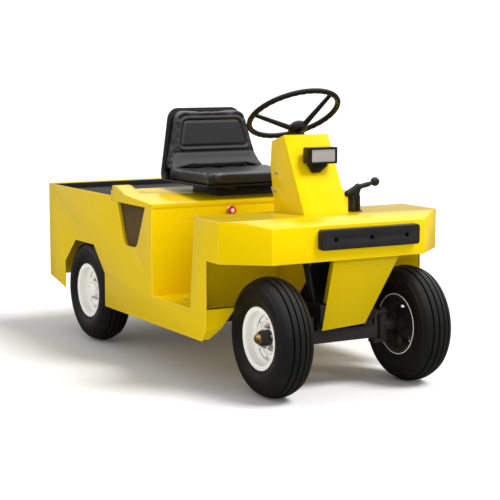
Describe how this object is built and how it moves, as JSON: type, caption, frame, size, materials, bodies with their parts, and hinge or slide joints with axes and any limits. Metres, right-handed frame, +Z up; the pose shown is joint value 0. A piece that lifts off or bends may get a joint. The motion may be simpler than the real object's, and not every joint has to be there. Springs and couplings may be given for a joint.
{
  "type": "tow tractor",
  "caption": "Small yellow electric tow tractor for baggage trolleys, with an open footwell, black seat, steering tower, rear load deck and drawbar hitch.",
  "frame": {"origin": "on the ground under the middle of the overall length", "axes": "+X to the driver's left, +Y to the rear, +Z up"},
  "size_m": [1, 2.0899, 1.1568],
  "materials": {
    "body_paint": "glossy yellow paint",
    "frame_paint": "satin black paint",
    "wheel_paint": "glossy off-white paint",
    "tyre_rubber": "matt",
    "black_rubber": "matt",
    "seat_vinyl": "grained black vinyl",
    "shell_plastic": "satin black",
    "wheel_plastic": "semi-gloss black",
    "lamp_glass": "pressed clear glass",
    "red_plastic": "glossy red",
    "battery_case": "matt grey",
    "screen_metal": "dull brown"
  },
  "bodies": {
    "body_and_frame": {"battery_pack": "battery_case", "bay_wall": "body_paint", "brake_lever": "frame_paint", "bulkheads": "body_paint", "bumper_pad": "black_rubber", "cargo_deck": "body_paint", "cargo_mat": "black_rubber", "chassis_frame": "frame_paint", "drive_motor": "frame_paint", "floor_pan": "body_paint", "foot_pedals": "frame_paint", "front_axle": "frame_paint", "front_skirt": "body_paint", "headlamp_housing": "frame_paint", "headlamp_lens": "lamp_glass", "nose_shell": "body_paint", "push_button": "red_plastic", "rear_axle": "frame_paint", "rear_panel": "body_paint", "rear_springs": "frame_paint", "riser_panel": "body_paint", "side_panel_left": "body_paint", "side_panel_right": "body_paint", "steering_column": "frame_paint", "steering_gear": "frame_paint", "steering_tower": "body_paint", "tail_lamps": "red_plastic", "tow_hitch": "frame_paint", "vent_screens": "screen_metal"},
    "seat_lid": {"seat_deck": "body_paint", "seat_base": "frame_paint", "seat_cushion": "seat_vinyl", "seat_back": "seat_vinyl", "seat_shell": "shell_plastic"},
    "steering_wheel_body": {"steering_wheel": "wheel_plastic"},
    "pitman_arm_body": {"pitman_arm": "frame_paint"},
    "tie_rod_body": {"tie_rod": "frame_paint"},
    "knuckle_left_body": {"knuckle_left": "frame_paint"},
    "knuckle_right_body": {"knuckle_right": "frame_paint"},
    "wheel_front_left": {"front_left_tyre": "tyre_rubber", "front_left_rim": "wheel_paint"},
    "wheel_front_right": {"front_right_tyre": "tyre_rubber", "front_right_rim": "wheel_paint"},
    "wheel_rear_left": {"rear_left_tyre": "tyre_rubber", "rear_left_rim": "wheel_paint"},
    "wheel_rear_right": {"rear_right_tyre": "tyre_rubber", "rear_right_rim": "wheel_paint"}
  },
  "joints": [
    {"name": "steer_left", "type": "hinge", "parent": "body_and_frame", "child": "knuckle_left_body", "pos_m": [0.19, -0.815, 0.23], "axis": [0, 0, 1], "range_deg": [-30, 30]},
    {"name": "steer_right", "type": "hinge", "parent": "body_and_frame", "child": "knuckle_right_body", "pos_m": [-0.19, -0.815, 0.23], "axis": [0, 0, 1], "range_deg": [-30, 30]},
    {"name": "pitman_turn", "type": "hinge", "parent": "body_and_frame", "child": "pitman_arm_body", "pos_m": [0, -0.815, 0.256], "axis": [0, 0, 1], "range_deg": [-30, 30]},
    {"name": "tie_rod_pivot", "type": "hinge", "parent": "knuckle_left_body", "child": "tie_rod_body", "pos_m": [0.19, -0.695, 0.236], "axis": [0, 0, 1], "range_deg": [-30, 30]},
    {"name": "steering_wheel_turn", "type": "hinge", "parent": "body_and_frame", "child": "steering_wheel_body", "pos_m": [0, -0.452, 1.05], "axis": [0, 0.515, 0.8572], "range_deg": [-360, 360]},
    {"name": "seat_lid_lift", "type": "hinge", "parent": "body_and_frame", "child": "seat_lid", "pos_m": [0, 0.2363, 0.7], "axis": [-1, 0, 0], "range_deg": [0, 50]},
    {"name": "spin_front_left", "type": "hinge", "parent": "knuckle_left_body", "child": "wheel_front_left", "pos_m": [0.313, -0.815, 0.23], "axis": [1, 0, 0], "continuous": true},
    {"name": "spin_front_right", "type": "hinge", "parent": "knuckle_right_body", "child": "wheel_front_right", "pos_m": [-0.313, -0.815, 0.23], "axis": [1, 0, 0], "continuous": true},
    {"name": "spin_rear_left", "type": "hinge", "parent": "body_and_frame", "child": "wheel_rear_left", "pos_m": [0.419, 0.549, 0.23], "axis": [1, 0, 0], "continuous": true},
    {"name": "spin_rear_right", "type": "hinge", "parent": "body_and_frame", "child": "wheel_rear_right", "pos_m": [-0.419, 0.549, 0.23], "axis": [1, 0, 0], "continuous": true}
  ],
  "couplings": [
    {"joint": "steer_right", "follows": "steer_left", "ratio": 1},
    {"joint": "pitman_turn", "follows": "steer_left", "ratio": 1},
    {"joint": "tie_rod_pivot", "follows": "steer_left", "ratio": -1},
    {"joint": "steering_wheel_turn", "follows": "steer_left", "ratio": 12}
  ]
}
